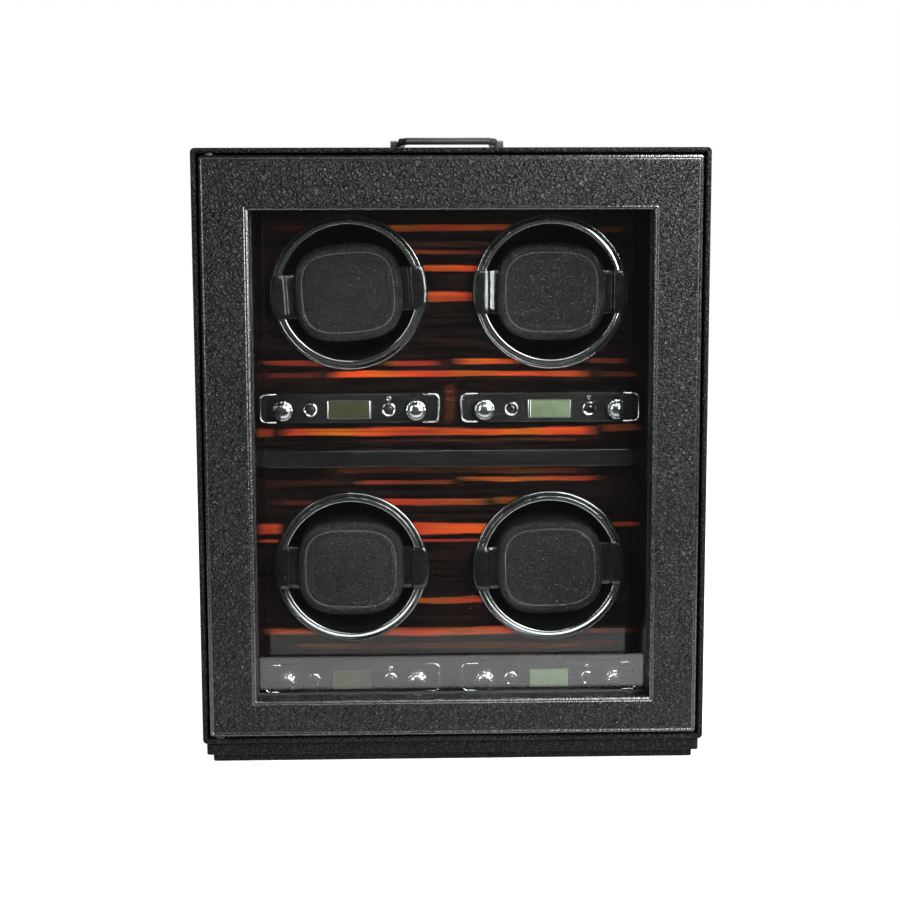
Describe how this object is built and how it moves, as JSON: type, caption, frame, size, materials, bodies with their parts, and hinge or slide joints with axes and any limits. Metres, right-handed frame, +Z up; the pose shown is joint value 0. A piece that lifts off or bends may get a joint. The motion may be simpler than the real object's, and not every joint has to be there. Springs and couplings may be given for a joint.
{
  "type": "watch winder box",
  "caption": "Leather-covered watch winder cabinet: hinged glass door, winder drums with padded cuffs, control strips, striped veneer board, folding handle.",
  "frame": {"origin": "centre of the bounding box's bottom face, on the surface the cabinet stands on", "axes": "+Z up, -Y out of the glass door, +X to the right of someone facing the door"},
  "size_m": [0.305, 0.229, 0.3804],
  "materials": {
    "case_leather": "pebble-grained black leather, satin",
    "back_lining": "black felt lining",
    "striped_wood": "black veneer with orange-red streaks under gloss lacquer",
    "gloss_black": "gloss",
    "black_plastic": "matt",
    "door_glass": "clear",
    "steel": "brushed",
    "gunmetal": "dark polished",
    "drum_metal": "black cup with a chrome rim",
    "cuff_leather": "fine-grained black leather, padded",
    "chrome": "polished",
    "display": "olive-grey liquid crystal behind clear film",
    "circuit": "green solder mask"
  },
  "bodies": {
    "cabinet": {"case_shell": "case_leather", "base_plinth": "case_leather", "back_panel": "back_lining", "front_board": "striped_wood", "divider_rail": "gloss_black", "dc_inlet": "black_plastic", "magnet_catch": "steel", "hinge_pin_upper": "steel", "hinge_pin_lower": "steel", "control_board": "circuit", "handle_plate": "gunmetal", "winder_housing_upper_left": "gloss_black", "motor_upper_left": "steel", "control_plate_upper_left": "gloss_black", "lcd_upper_left": "display", "winder_housing_upper_right": "gloss_black", "motor_upper_right": "steel", "control_plate_upper_right": "gloss_black", "lcd_upper_right": "display", "winder_housing_lower_left": "gloss_black", "motor_lower_left": "steel", "control_plate_lower_left": "gloss_black", "lcd_lower_left": "display", "winder_housing_lower_right": "gloss_black", "motor_lower_right": "steel", "control_plate_lower_right": "gloss_black", "lcd_lower_right": "display"},
    "door": {"door_frame": "case_leather", "door_glass": "door_glass", "glass_retainer": "black_plastic", "strike_plate": "steel"},
    "handle": {"handle_bail": "gunmetal"},
    "drum_upper_left": {"drum_upper_left": "drum_metal"},
    "cuff_upper_left": {"cuff_upper_left": "cuff_leather"},
    "pinion_upper_left": {"pinion_upper_left": "steel"},
    "turns_knob_upper_left": {"turns_knob_upper_left": "chrome"},
    "direction_knob_upper_left": {"direction_knob_upper_left": "chrome"},
    "power_button_upper_left": {"power_button_upper_left": "gloss_black"},
    "mode_button_upper_left": {"mode_button_upper_left": "gloss_black"},
    "drum_upper_right": {"drum_upper_right": "drum_metal"},
    "cuff_upper_right": {"cuff_upper_right": "cuff_leather"},
    "pinion_upper_right": {"pinion_upper_right": "steel"},
    "turns_knob_upper_right": {"turns_knob_upper_right": "chrome"},
    "direction_knob_upper_right": {"direction_knob_upper_right": "chrome"},
    "power_button_upper_right": {"power_button_upper_right": "gloss_black"},
    "mode_button_upper_right": {"mode_button_upper_right": "gloss_black"},
    "drum_lower_left": {"drum_lower_left": "drum_metal"},
    "cuff_lower_left": {"cuff_lower_left": "cuff_leather"},
    "pinion_lower_left": {"pinion_lower_left": "steel"},
    "turns_knob_lower_left": {"turns_knob_lower_left": "chrome"},
    "direction_knob_lower_left": {"direction_knob_lower_left": "chrome"},
    "power_button_lower_left": {"power_button_lower_left": "gloss_black"},
    "mode_button_lower_left": {"mode_button_lower_left": "gloss_black"},
    "drum_lower_right": {"drum_lower_right": "drum_metal"},
    "cuff_lower_right": {"cuff_lower_right": "cuff_leather"},
    "pinion_lower_right": {"pinion_lower_right": "steel"},
    "turns_knob_lower_right": {"turns_knob_lower_right": "chrome"},
    "direction_knob_lower_right": {"direction_knob_lower_right": "chrome"},
    "power_button_lower_right": {"power_button_lower_right": "gloss_black"},
    "mode_button_lower_right": {"mode_button_lower_right": "gloss_black"}
  },
  "joints": [
    {"name": "door_hinge", "type": "hinge", "parent": "cabinet", "child": "door", "pos_m": [-0.142, -0.1105, 0.191], "axis": [0, 0, -1], "range_deg": [0, 110]},
    {"name": "handle_fold", "type": "hinge", "parent": "cabinet", "child": "handle", "pos_m": [0, 0, 0.3766], "axis": [-1, 0, 0], "range_deg": [0, 84]},
    {"name": "drum_spin_upper_left", "type": "hinge", "parent": "cabinet", "child": "drum_upper_left", "pos_m": [-0.063, 0, 0.2838], "axis": [0, 1, 0], "continuous": true},
    {"name": "pinion_spin_upper_left", "type": "hinge", "parent": "cabinet", "child": "pinion_upper_left", "pos_m": [-0.063, 0, 0.2537], "axis": [0, 1, 0], "continuous": true},
    {"name": "cuff_pull_upper_left", "type": "slide", "parent": "drum_upper_left", "child": "cuff_upper_left", "axis": [0, -1, 0], "range_m": [0, 0.026]},
    {"name": "turns_turn_upper_left", "type": "hinge", "parent": "cabinet", "child": "turns_knob_upper_left", "pos_m": [-0.1045, -0.06, 0.2107], "axis": [0, -1, 0], "range_deg": [-135, 135]},
    {"name": "direction_turn_upper_left", "type": "hinge", "parent": "cabinet", "child": "direction_knob_upper_left", "pos_m": [-0.0215, -0.06, 0.2107], "axis": [0, -1, 0], "range_deg": [-60, 60]},
    {"name": "power_press_upper_left", "type": "slide", "parent": "cabinet", "child": "power_button_upper_left", "axis": [0, 1, 0], "range_m": [0, 0.0008], "stiffness_N_per_m": 300, "springref_m": -0.0005},
    {"name": "mode_press_upper_left", "type": "slide", "parent": "cabinet", "child": "mode_button_upper_left", "axis": [0, 1, 0], "range_m": [0, 0.0008], "stiffness_N_per_m": 300, "springref_m": -0.0005},
    {"name": "drum_spin_upper_right", "type": "hinge", "parent": "cabinet", "child": "drum_upper_right", "pos_m": [0.063, 0, 0.2838], "axis": [0, 1, 0], "continuous": true},
    {"name": "pinion_spin_upper_right", "type": "hinge", "parent": "cabinet", "child": "pinion_upper_right", "pos_m": [0.063, 0, 0.2537], "axis": [0, 1, 0], "continuous": true},
    {"name": "cuff_pull_upper_right", "type": "slide", "parent": "drum_upper_right", "child": "cuff_upper_right", "axis": [0, -1, 0], "range_m": [0, 0.026]},
    {"name": "turns_turn_upper_right", "type": "hinge", "parent": "cabinet", "child": "turns_knob_upper_right", "pos_m": [0.0215, -0.06, 0.2107], "axis": [0, -1, 0], "range_deg": [-135, 135]},
    {"name": "direction_turn_upper_right", "type": "hinge", "parent": "cabinet", "child": "direction_knob_upper_right", "pos_m": [0.1045, -0.06, 0.2107], "axis": [0, -1, 0], "range_deg": [-60, 60]},
    {"name": "power_press_upper_right", "type": "slide", "parent": "cabinet", "child": "power_button_upper_right", "axis": [0, 1, 0], "range_m": [0, 0.0008], "stiffness_N_per_m": 300, "springref_m": -0.0005},
    {"name": "mode_press_upper_right", "type": "slide", "parent": "cabinet", "child": "mode_button_upper_right", "axis": [0, 1, 0], "range_m": [0, 0.0008], "stiffness_N_per_m": 300, "springref_m": -0.0005},
    {"name": "drum_spin_lower_left", "type": "hinge", "parent": "cabinet", "child": "drum_lower_left", "pos_m": [-0.063, 0, 0.1102], "axis": [0, 1, 0], "continuous": true},
    {"name": "pinion_spin_lower_left", "type": "hinge", "parent": "cabinet", "child": "pinion_lower_left", "pos_m": [-0.063, 0, 0.0801], "axis": [0, 1, 0], "continuous": true},
    {"name": "cuff_pull_lower_left", "type": "slide", "parent": "drum_lower_left", "child": "cuff_lower_left", "axis": [0, -1, 0], "range_m": [0, 0.026]},
    {"name": "turns_turn_lower_left", "type": "hinge", "parent": "cabinet", "child": "turns_knob_lower_left", "pos_m": [-0.1045, -0.06, 0.0371], "axis": [0, -1, 0], "range_deg": [-135, 135]},
    {"name": "direction_turn_lower_left", "type": "hinge", "parent": "cabinet", "child": "direction_knob_lower_left", "pos_m": [-0.0215, -0.06, 0.0371], "axis": [0, -1, 0], "range_deg": [-60, 60]},
    {"name": "power_press_lower_left", "type": "slide", "parent": "cabinet", "child": "power_button_lower_left", "axis": [0, 1, 0], "range_m": [0, 0.0008], "stiffness_N_per_m": 300, "springref_m": -0.0005},
    {"name": "mode_press_lower_left", "type": "slide", "parent": "cabinet", "child": "mode_button_lower_left", "axis": [0, 1, 0], "range_m": [0, 0.0008], "stiffness_N_per_m": 300, "springref_m": -0.0005},
    {"name": "drum_spin_lower_right", "type": "hinge", "parent": "cabinet", "child": "drum_lower_right", "pos_m": [0.063, 0, 0.1102], "axis": [0, 1, 0], "continuous": true},
    {"name": "pinion_spin_lower_right", "type": "hinge", "parent": "cabinet", "child": "pinion_lower_right", "pos_m": [0.063, 0, 0.0801], "axis": [0, 1, 0], "continuous": true},
    {"name": "cuff_pull_lower_right", "type": "slide", "parent": "drum_lower_right", "child": "cuff_lower_right", "axis": [0, -1, 0], "range_m": [0, 0.026]},
    {"name": "turns_turn_lower_right", "type": "hinge", "parent": "cabinet", "child": "turns_knob_lower_right", "pos_m": [0.0215, -0.06, 0.0371], "axis": [0, -1, 0], "range_deg": [-135, 135]},
    {"name": "direction_turn_lower_right", "type": "hinge", "parent": "cabinet", "child": "direction_knob_lower_right", "pos_m": [0.1045, -0.06, 0.0371], "axis": [0, -1, 0], "range_deg": [-60, 60]},
    {"name": "power_press_lower_right", "type": "slide", "parent": "cabinet", "child": "power_button_lower_right", "axis": [0, 1, 0], "range_m": [0, 0.0008], "stiffness_N_per_m": 300, "springref_m": -0.0005},
    {"name": "mode_press_lower_right", "type": "slide", "parent": "cabinet", "child": "mode_button_lower_right", "axis": [0, 1, 0], "range_m": [0, 0.0008], "stiffness_N_per_m": 300, "springref_m": -0.0005}
  ],
  "couplings": [
    {"joint": "pinion_spin_upper_left", "follows": "drum_spin_upper_left", "ratio": -3},
    {"joint": "pinion_spin_upper_right", "follows": "drum_spin_upper_right", "ratio": -3},
    {"joint": "pinion_spin_lower_left", "follows": "drum_spin_lower_left", "ratio": -3},
    {"joint": "pinion_spin_lower_right", "follows": "drum_spin_lower_right", "ratio": -3}
  ]
}
